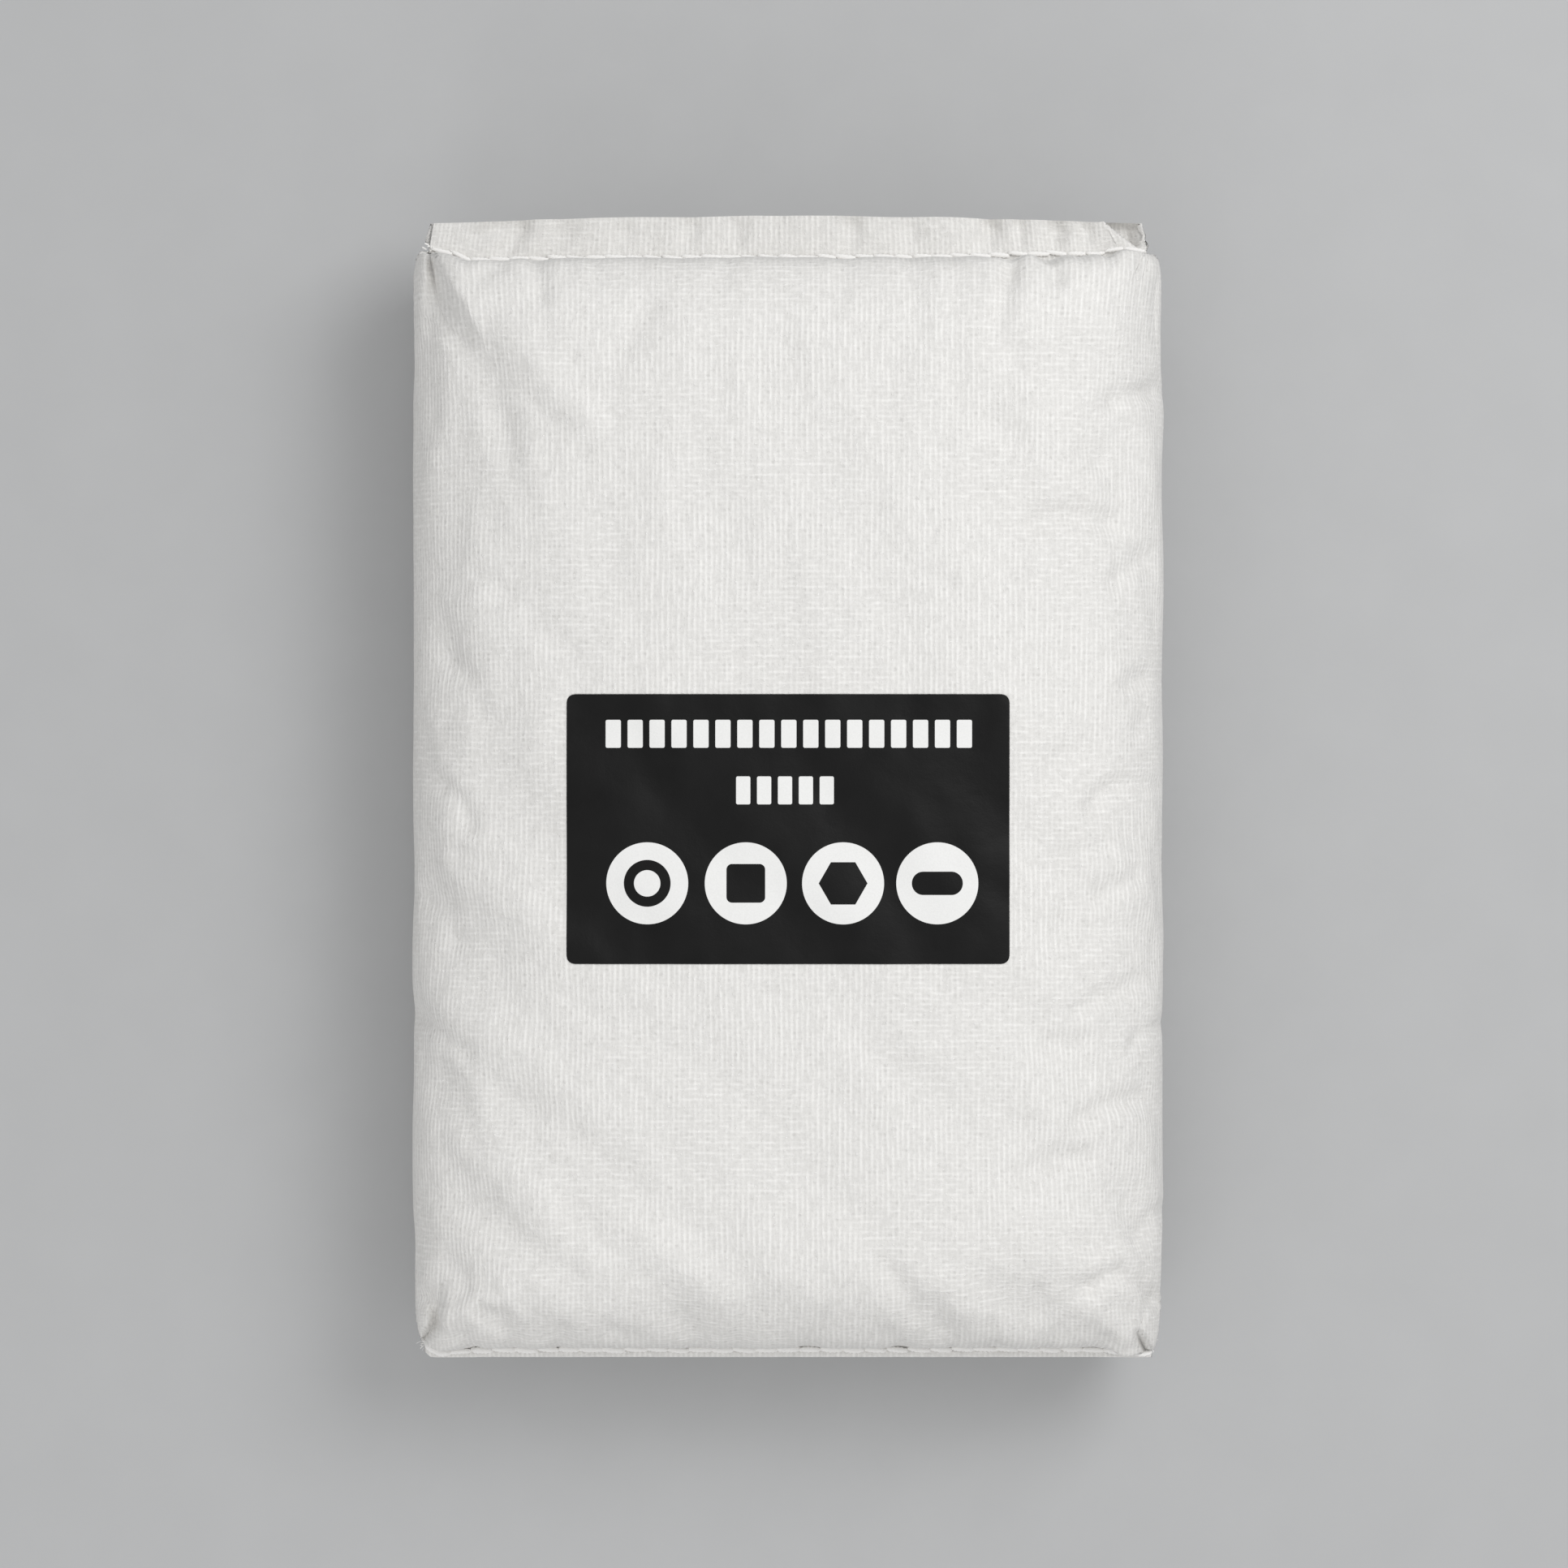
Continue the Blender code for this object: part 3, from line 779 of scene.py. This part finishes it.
def tube_faces(rows, columns):
    """Quads of a closed tube of points."""
    index = np.arange(rows * columns).reshape(rows, columns)
    beside = np.roll(index, -1, 1)
    return np.stack([index[:-1], beside[:-1], beside[1:], index[1:]], -1).reshape(-1, 4)


def build_sack():
    """The sack's cloth with both hems."""
    around, along = cloth_grid(1.0)
    body = gathered(creased_sack(around, along))
    foot = foot_hem(body[0])
    mouth = mouth_hem(body[-1], around)
    points = np.stack(foot[::-1] + list(body) + mouth)
    run = polyline_length(*points[:, len(around) // 2].T)
    rows, columns, _ = points.shape
    piece = mesh_object("woven_sack", points.reshape(-1, 3), tube_faces(rows, columns).tolist())
    across = np.tile((around + GIRTH / 2) / GIRTH, rows)
    add_tube_map(piece, across, np.repeat(run / run[-1], columns))
    return piece, points, run[-1]


def surface_height(tree, x, y, from_above=True):
    """Height of the sack's cloth at x, y, seen from above or below."""
    start, way = ((x, y, 1), (0, 0, -1)) if from_above else ((x, y, -1), (0, 0, 1))
    hit = tree.ray_cast(Vector(start), Vector(way))[0]
    return hit.z if hit else SEAM_HEIGHT


def stitch_paths(tree, sewing):
    """Path and thickness of each stitch above and below the seam, its ends pulled into the cloth."""
    count = round(2 * sewing.half_width / sewing.pitch)
    stitches = []
    for stitch in range(count):
        slant = RANDOM.uniform(*sewing.slants)
        overlap = RANDOM.uniform(*STITCH_OVERLAP)
        swell = RANDOM.uniform(*STITCH_SWELL)
        bow, offset = RANDOM.uniform(-STITCH_WANDER, STITCH_WANDER, 2)
        shares = np.linspace(-overlap, 1 + overlap, 15)
        x = sewing.half_width * (2 * (stitch + shares) / count - 1)
        y = sewing.seam_y + between(x, sewing.wander) + offset
        y += bow * np.sin(math.pi * shares) - slant * (shares - 0.5)
        arch = np.linspace(-1, 1, len(shares)) ** 10
        for side in (1, -1):
            skin = np.mean([surface_height(tree, px, py, side > 0) for px, py in zip(x[3:-3], y[3:-3])])
            skin = SEAM_HEIGHT + np.clip(skin - SEAM_HEIGHT, -THREAD_LIFT, THREAD_LIFT)
            height = skin + side * sewing.radius * swell * (STITCH_STAND - STITCH_DIVE * arch)
            stitches.append((np.stack([x, y, height], 1), sewing.radius * swell))
    return stitches


def loose_fibres(fray):
    """Path and thickness of fibres that stand out from a frayed corner."""
    corner = np.array(fray.corner) + (0, 0, SEAM_HEIGHT)
    fibres = []
    steps = np.linspace(0, 1, 7)[:, None]
    for _ in range(fray.count):
        start = corner + RANDOM.uniform(-1, 1, 3) * (0.6, 0.9, 0.4) * np.array(fray.longest)
        aim = np.array(fray.way) + RANDOM.uniform(-0.5, 0.5, 3)
        bend = RANDOM.uniform(-0.4, 0.4, 3) * fray.longest
        length = RANDOM.uniform(0.5, 1.0) * fray.longest
        fibres.append((start + steps * aim * length + steps ** 2 * bend, fray.thickness))
    return fibres


def build_thread(name, strands):
    """Two-ply twisted threads swept along short open paths."""
    turn = np.linspace(0, 2 * math.pi, THREAD_SIDES, endpoint=False)[None, :]
    all_points, all_faces = [], []
    first = 0
    for number, (path, thickness) in enumerate(strands):
        tangent = np.gradient(path, axis=0)
        tangent /= np.linalg.norm(tangent, axis=1, keepdims=True)
        sideways = np.cross(tangent, (0.0, 0.0, 1.0))
        sideways /= np.linalg.norm(sideways, axis=1, keepdims=True)
        upward = np.cross(sideways, tangent)
        twist = polyline_length(*path.T)[:, None] / THREAD_LAY * 2 * math.pi + number
        taper = 0.45 + 0.55 * np.sin(np.linspace(0, math.pi, len(path))) ** 0.5
        radius = thickness * taper[:, None] * (1 - PLY_DEPTH + PLY_DEPTH * np.cos(2 * (turn - twist)))
        ring = (path[:, None] + sideways[:, None] * (np.cos(turn) * radius)[:, :, None]
                + upward[:, None] * (np.sin(turn) * radius)[:, :, None])
        last = first + (len(path) - 1) * THREAD_SIDES
        all_points.append(ring.reshape(-1, 3))
        all_faces += (tube_faces(len(path), THREAD_SIDES) + first).tolist()
        all_faces.append(list(range(first + THREAD_SIDES - 1, first - 1, -1)))
        all_faces.append(list(range(last, last + THREAD_SIDES)))
        first += len(path) * THREAD_SIDES
    return mesh_object(name, np.concatenate(all_points), all_faces)


def label_places(length, count):
    """Places along one side of the label about its middle, closest together at the corners."""
    arc = LABEL_CORNER * np.array([0, 0.1, 0.3, 0.6, 1])
    middle = np.linspace(LABEL_CORNER, length - LABEL_CORNER, count)[1:-1]
    return np.concatenate([arc, middle, length - arc[::-1]]) - length / 2


def rounded_label(width, depth):
    """Flat grid of the label's points about its centre, with rounded corners."""
    x, y = np.meshgrid(label_places(width, LABEL_COLUMNS), label_places(depth, LABEL_LINES))
    inner_x = np.clip(x, LABEL_CORNER - width / 2, width / 2 - LABEL_CORNER)
    inner_y = np.clip(y, LABEL_CORNER - depth / 2, depth / 2 - LABEL_CORNER)
    out_x, out_y = x - inner_x, y - inner_y
    square = np.maximum(np.abs(out_x), np.abs(out_y))
    round_share = square / np.maximum(np.hypot(out_x, out_y), 1e-9)
    return inner_x + out_x * round_share, inner_y + out_y * round_share


def build_label(tree):
    """The film label, laid on the cloth: its two faces and the rim between them."""
    width = LABEL_HIGH[0] - LABEL_LOW[0]
    depth = LABEL_HIGH[1] - LABEL_LOW[1]
    centre = Vector(((LABEL_LOW[0] + LABEL_HIGH[0]) / 2, (LABEL_LOW[1] + LABEL_HIGH[1]) / 2))
    x, y = rounded_label(width, depth)
    ground = np.array([surface_height(tree, px + centre.x, py + centre.y)
                       for px, py in zip(x.ravel(), y.ravel())]).reshape(x.shape)
    top = np.stack([x + centre.x, y + centre.y, ground + LABEL_THICKNESS], 2).reshape(-1, 3)
    low = top - (0, 0, 0.9 * LABEL_THICKNESS)
    index = np.arange(x.size).reshape(x.shape)
    faces = np.stack([index[:-1, :-1], index[:-1, 1:], index[1:, 1:], index[1:, :-1]], -1).reshape(-1, 4)
    rim = np.concatenate([index[0], index[1:, -1], index[-1, -2::-1], index[-2:0:-1, 0]])
    following = np.roll(rim, -1)
    skirt = np.stack([rim, rim + index.size, following + index.size, following], 1)
    points = np.concatenate([top, low])
    all_faces = np.concatenate([faces, (faces + index.size)[:, ::-1], skirt])
    piece = mesh_object("film_label", points, all_faces.tolist())
    corners = corner_points(piece)
    flat = points[corners][:, :2] - (centre.x, centre.y)
    shares = np.stack([flat[:, 0] / width + 0.5, (flat[:, 1] / width + 0.5) * LABEL_MAP_SHARE], 1)
    shares[corners >= index.size, 1] *= UNDERSIDE_MAP_SHARE
    add_map(piece, shares)
    return piece


# Materials

class Recipe:
    """A material's node graph, written as a list of steps."""

    def __init__(self, name):
        self.material = bpy.data.materials.new(name)
        self.material.use_nodes = True
        self.nodes = self.material.node_tree.nodes
        self.links = self.material.node_tree.links
        self.shader = self.nodes["Principled BSDF"]

    def feed(self, socket, value):
        """Join a socket to another node's output, or set it to a plain value."""
        if isinstance(value, bpy.types.NodeSocket):
            self.links.new(value, socket)
        else:
            socket.default_value = value

    def add(self, kind, inputs, **settings):
        """The outputs of a new node with these settings, and these inputs by name or number."""
        node = self.nodes.new("ShaderNode" + kind)
        for name, value in settings.items():
            setattr(node, name, value)
        for key, value in inputs.items():
            self.feed(node.inputs[key], value)
        return node.outputs

    def maths(self, operation, *values):
        """A number from up to three others."""
        return self.add("Math", dict(enumerate(values)), operation=operation)[0]

    def times(self, first, second):
        """Two numbers multiplied."""
        return self.maths("MULTIPLY", first, second)

    def times_plus(self, first, second, third):
        """Two numbers multiplied, with a third one added."""
        return self.maths("MULTIPLY_ADD", first, second, third)

    def minus(self, first, second):
        """One number less another."""
        return self.maths("SUBTRACT", first, second)

    def size(self, value):
        """A number without its sign."""
        return self.maths("ABSOLUTE", value)

    def length(self, x, y):
        """Length of a flat vector whose parts aren't below 0."""
        squares = self.maths("ADD", self.maths("POWER", x, 2.0), self.maths("POWER", y, 2.0))
        return self.maths("SQRT", squares)

    def noise(self, vector, scale, detail=2.0, roughness=0.5):
        """Cloudy values about 0.5."""
        inputs = {"Vector": vector, "Scale": scale, "Detail": detail, "Roughness": roughness}
        return self.add("TexNoise", inputs)[0]

    def vector(self, *values):
        """Up to three numbers as one vector."""
        return self.add("CombineXYZ", dict(enumerate(values)))[0]

    def split(self, vector):
        """A vector's three numbers."""
        return list(self.add("SeparateXYZ", {0: vector}))

    def flat_place(self, width, height):
        """Distances in metres on the flat map."""
        across, along, _ = self.split(self.add("UVMap", {}, uv_map="OFBake")[0])
        return self.times(across, width), self.times(along, height)

    def object_place(self):
        """The point's own place in metres."""
        return self.add("TexCoord", {})["Object"]

    def swayed(self, count, place):
        """A count of threads that wander from their places."""
        sway = self.minus(self.noise(place, 35.0, 4.0), 0.5)
        return self.times_plus(sway, 0.8, count)

    def rib(self, count, sharpness):
        """Rounded ribs, one to each whole number, with narrow grooves between."""
        arch = self.maths("SINE", self.times(self.maths("FRACT", count), math.pi))
        return self.maths("POWER", arch, sharpness)

    def cells(self, across, along):
        """A random number for each crossing of two grooves, at whole numbers."""
        crossing = self.vector(self.maths("ROUND", across), self.maths("ROUND", along))
        return self.add("TexWhiteNoise", {"Vector": crossing}, noise_dimensions="2D")[0]

    def spread(self, value, low, high):
        """0 below low, 1 above high and smooth between."""
        inputs = {"Value": value, "From Min": low, "From Max": high}
        return self.add("MapRange", inputs, interpolation_type="SMOOTHSTEP")[0]

    def blend(self, share, first, second):
        """A colour between two others."""
        return self.add("Mix", {"Factor": share, 6: first, 7: second}, data_type="RGBA")[2]

    def bump(self, height, distance, under=None):
        """A shading normal from a height in shares of a distance, laid over another normal or none."""
        below = {} if under is None else {"Normal": under}
        return self.add("Bump", {"Height": height, "Distance": distance, **below})[0]

    def finish(self, colour, roughness, normal):
        """Join the results to the shader."""
        self.feed(self.shader.inputs["Base Color"], colour)
        self.feed(self.shader.inputs["Roughness"], roughness)
        self.links.new(normal, self.shader.inputs["Normal"])
        return self.material


def cloth_material(cloth_length):
    """White woven tape: broken ribs along the sack, crossed here and there by others, and a few pin holes,
    with painted highlight on the ribs and painted shade in the grooves and holes.
    """
    recipe = Recipe("woven_cloth")
    across, along = recipe.flat_place(GIRTH, cloth_length)
    place = recipe.vector(across, along)
    turned_place = recipe.vector(along, across)
    warp = recipe.swayed(recipe.maths("DIVIDE", across, TAPE_PITCH), place)
    weft = recipe.swayed(recipe.maths("DIVIDE", along, TAPE_PITCH), turned_place)
    warp_runs = recipe.noise(recipe.vector(warp, recipe.times(weft, 0.30)), 1.0, 3.0)
    weft_runs = recipe.noise(recipe.vector(recipe.times(warp, 0.45), weft, 7.0), 1.0, 3.0)
    crosswise = recipe.spread(recipe.noise(place, 20.0, 3.0), 0.42, 0.62)
    warp_share = recipe.times(recipe.spread(warp_runs, 0.28, 0.62), recipe.times_plus(crosswise, -0.50, 0.95))
    weft_share = recipe.times(recipe.spread(weft_runs, 0.38, 0.64), recipe.times_plus(crosswise, 0.52, 0.16))
    warp_rib, weft_rib = recipe.rib(warp, 2.0), recipe.rib(weft, 2.0)
    gaps = recipe.times(recipe.minus(1.0, warp_rib), recipe.minus(1.0, weft_rib))
    holes = recipe.times(gaps, recipe.spread(recipe.cells(warp, weft), 0.84, 1.0))
    flecks = recipe.spread(recipe.noise(place, 800.0, 2.0, 0.6), 0.58, 0.70)
    grain = recipe.noise(place, 620.0, 3.0, 0.65)
    weave = recipe.times_plus(weft_rib, weft_share, recipe.times(warp_rib, warp_share))
    for detail, strength in ((holes, -0.5), (flecks, 0.8), (grain, 1.5)):
        weave = recipe.times_plus(detail, strength, weave)
    crinkle = recipe.noise(place, 150.0, 3.0, 0.6)
    # The colour follows the heights of the weave and of the crinkles: painted highlight where they stand up,
    # painted shade in the grooves, pin holes and hollows.
    relief_shade = recipe.times_plus(crinkle, 0.15, recipe.times(weave, 0.40))
    colour = recipe.blend(relief_shade, (0.61, 0.60, 0.58, 1), (0.96, 0.95, 0.93, 1))
    normal = recipe.bump(weave, WEAVE_RELIEF)
    normal = recipe.bump(crinkle, CRINKLE_RELIEF, normal)
    roughness = recipe.times_plus(crosswise, 0.10, 0.50)
    recipe.shader.inputs["Specular IOR Level"].default_value = 0.35
    return recipe.finish(colour, roughness, normal)


def thread_material():
    """Off-white spun thread."""
    recipe = Recipe("spun_thread")
    place = recipe.object_place()
    fibres = recipe.noise(place, 1800.0, 2.0)
    colour = recipe.blend(fibres, (0.88, 0.87, 0.85, 1), (0.98, 0.97, 0.96, 1))
    normal = recipe.bump(fibres, FIBRE_RELIEF)
    return recipe.finish(colour, 0.82, normal)


def box_distance(recipe, x, y, half_width, half_height, corner):
    """Distance outside a box with rounded corners."""
    out_x = recipe.maths("MAXIMUM", recipe.minus(recipe.size(x), half_width - corner), 0.0)
    out_y = recipe.maths("MAXIMUM", recipe.minus(recipe.size(y), half_height - corner), 0.0)
    return recipe.minus(recipe.length(out_x, out_y), corner)


def block_row(recipe, x, y, row):
    """1 inside a row of equal blocks."""
    pitch = row.width + row.gap
    turn = recipe.maths("DIVIDE", recipe.minus(x, row.centre_x - row.count * pitch / 2), pitch)
    across = recipe.times(recipe.minus(recipe.maths("FRACT", turn), 0.5), pitch)
    down = recipe.minus(y, row.centre_y)
    distance = box_distance(recipe, across, down, row.width / 2, BLOCK_HEIGHT / 2, BLOCK_CORNER)
    inside = recipe.maths("LESS_THAN", distance, 0.0)
    in_row = recipe.times(recipe.maths("GREATER_THAN", turn, 0.0), recipe.maths("LESS_THAN", turn, row.count))
    return recipe.times(inside, in_row)


def figure_distance(recipe, kind, x, y):
    """Distance outside one plain dark figure."""
    if kind in BOX_FIGURES:
        return box_distance(recipe, x, y, *BOX_FIGURES[kind])
    size_x, size_y = recipe.size(x), recipe.size(y)
    if kind == "hexagon":
        slope = recipe.times_plus(size_x, math.sqrt(0.75), recipe.times(size_y, 0.5))
        return recipe.minus(recipe.maths("MAXIMUM", slope, size_y), HEXAGON_REACH)
    from_ring = recipe.size(recipe.minus(recipe.length(size_x, size_y), RING_RADIUS))
    return recipe.minus(from_ring, RING_HALF_WIDTH)


def label_ink(recipe, x, y):
    """1 where the white ink is: two rows of blocks and four discs with a plain figure in each."""
    ink = 0.0
    for row in BLOCK_ROWS:
        ink = recipe.maths("MAXIMUM", ink, block_row(recipe, x, y, row))
    for kind, disc_x in DISCS:
        across = recipe.minus(x, disc_x)
        down = recipe.minus(y, DISC_Y)
        from_disc = box_distance(recipe, across, down, DISC_RADIUS, DISC_RADIUS, DISC_RADIUS)
        disc = recipe.maths("LESS_THAN", from_disc, 0.0)
        figure = recipe.maths("LESS_THAN", figure_distance(recipe, kind, across, down), 0.0)
        ink = recipe.maths("MAXIMUM", ink, recipe.minus(disc, figure))
    return ink


def label_material():
    """Black satin film with white ink shapes."""
    recipe = Recipe("label_film")
    place = recipe.object_place()
    x, y, _ = recipe.split(place)
    mottle = recipe.noise(place, 60.0, 4.0)
    grain = recipe.noise(place, 1400.0, 2.0)
    ink = label_ink(recipe, x, y)
    film = recipe.blend(mottle, (0.004, 0.004, 0.004, 1), (0.010, 0.010, 0.010, 1))
    white = recipe.blend(grain, (0.80, 0.80, 0.79, 1), (0.90, 0.90, 0.89, 1))
    colour = recipe.blend(ink, film, white)
    height = recipe.times_plus(ink, 0.6, grain)
    normal = recipe.bump(height, INK_RELIEF)
    normal = recipe.bump(mottle, FILM_RELIEF, normal)
    roughness = recipe.times_plus(mottle, 0.25, 0.36)
    recipe.shader.inputs["Specular IOR Level"].default_value = 0.15
    return recipe.finish(colour, roughness, normal)


def floor_material():
    """Pale studio floor with a faint grain."""
    recipe = Recipe("studio_floor")
    grain = recipe.noise(recipe.object_place(), 30.0, 4.0)
    colour = recipe.blend(grain, (0.47, 0.475, 0.48, 1), (0.50, 0.505, 0.51, 1))
    normal = recipe.bump(grain, FLOOR_RELIEF)
    return recipe.finish(colour, 0.8, normal)


# Floor, light and camera

def build_stage():
    """Pale floor under the sack."""
    corners = FLOOR_HALF_WIDTH * np.array([(-1, -1, 0), (1, -1, 0), (1, 1, 0), (-1, 1, 0)])
    floor = mesh_object("floor", corners, [[0, 1, 2, 3]])
    floor.data.materials.append(floor_material())


def add_area_light(lamp):
    """A soft square light that faces the sack."""
    light = bpy.data.lights.new(lamp.name, "AREA")
    light.shape = "SQUARE"
    light.size = lamp.size
    light.energy = lamp.power
    holder = new_object(light)
    holder.location = lamp.place
    holder.rotation_euler = (Vector(LAMP_AIM) - Vector(lamp.place)).to_track_quat("-Z", "Y").to_euler()


def build_lights():
    """Soft light from the upper right, a weak one from the foot's side and an even one all round."""
    for lamp in LAMPS:
        add_area_light(lamp)
    world = bpy.data.worlds.new("studio")
    world.use_nodes = True
    background = world.node_tree.nodes["Background"]
    background.inputs["Color"].default_value = (1.0, 1.0, 1.0, 1)
    background.inputs["Strength"].default_value = WORLD_STRENGTH
    bpy.context.scene.world = world
    bpy.context.scene.view_settings.view_transform = "Standard"


def build_camera():
    """A long lens straight above, the mouth of the sack at the top of the picture."""
    camera = bpy.data.cameras.new("camera")
    camera.lens = LENS
    camera.sensor_width = SENSOR_WIDTH
    distance = PICTURE_WIDTH * LENS / SENSOR_WIDTH
    holder = new_object(camera)
    holder.location = (CAMERA_X, CAMERA_Y, SEAM_HEIGHT + distance)
    bpy.context.scene.camera = holder


def place_piece(piece, node, material):
    """Let a piece stand for a CAD node."""
    piece.data.materials.append(material)
    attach(piece, "root")
    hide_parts(node)


def sew(name, node, tree, sewing, *frays):
    """The closing thread of one seam with its loose fibres, in place of its CAD node."""
    strands = stitch_paths(tree, sewing)
    for fray in frays:
        strands += loose_fibres(fray)
    place_piece(build_thread(name, strands), node, thread_finish)


sack, sack_points, cloth_length = build_sack()
place_piece(sack, "filled_sack", cloth_material(cloth_length))
rows, columns, _ = sack_points.shape
cloth_tree = BVHTree.FromPolygons(sack_points.reshape(-1, 3).tolist(), tube_faces(rows, columns).tolist())
thread_finish = thread_material()
sew("mouth_thread", "mouth_stitching", cloth_tree, MOUTH_SEWING, MOUTH_LEFT_FRAY)
sew("foot_thread", "foot_stitching", cloth_tree, FOOT_SEWING, FOOT_RIGHT_FRAY, FOOT_LEFT_FRAY)
place_piece(build_label(cloth_tree), "label", label_material())
build_stage()
build_lights()
build_camera()
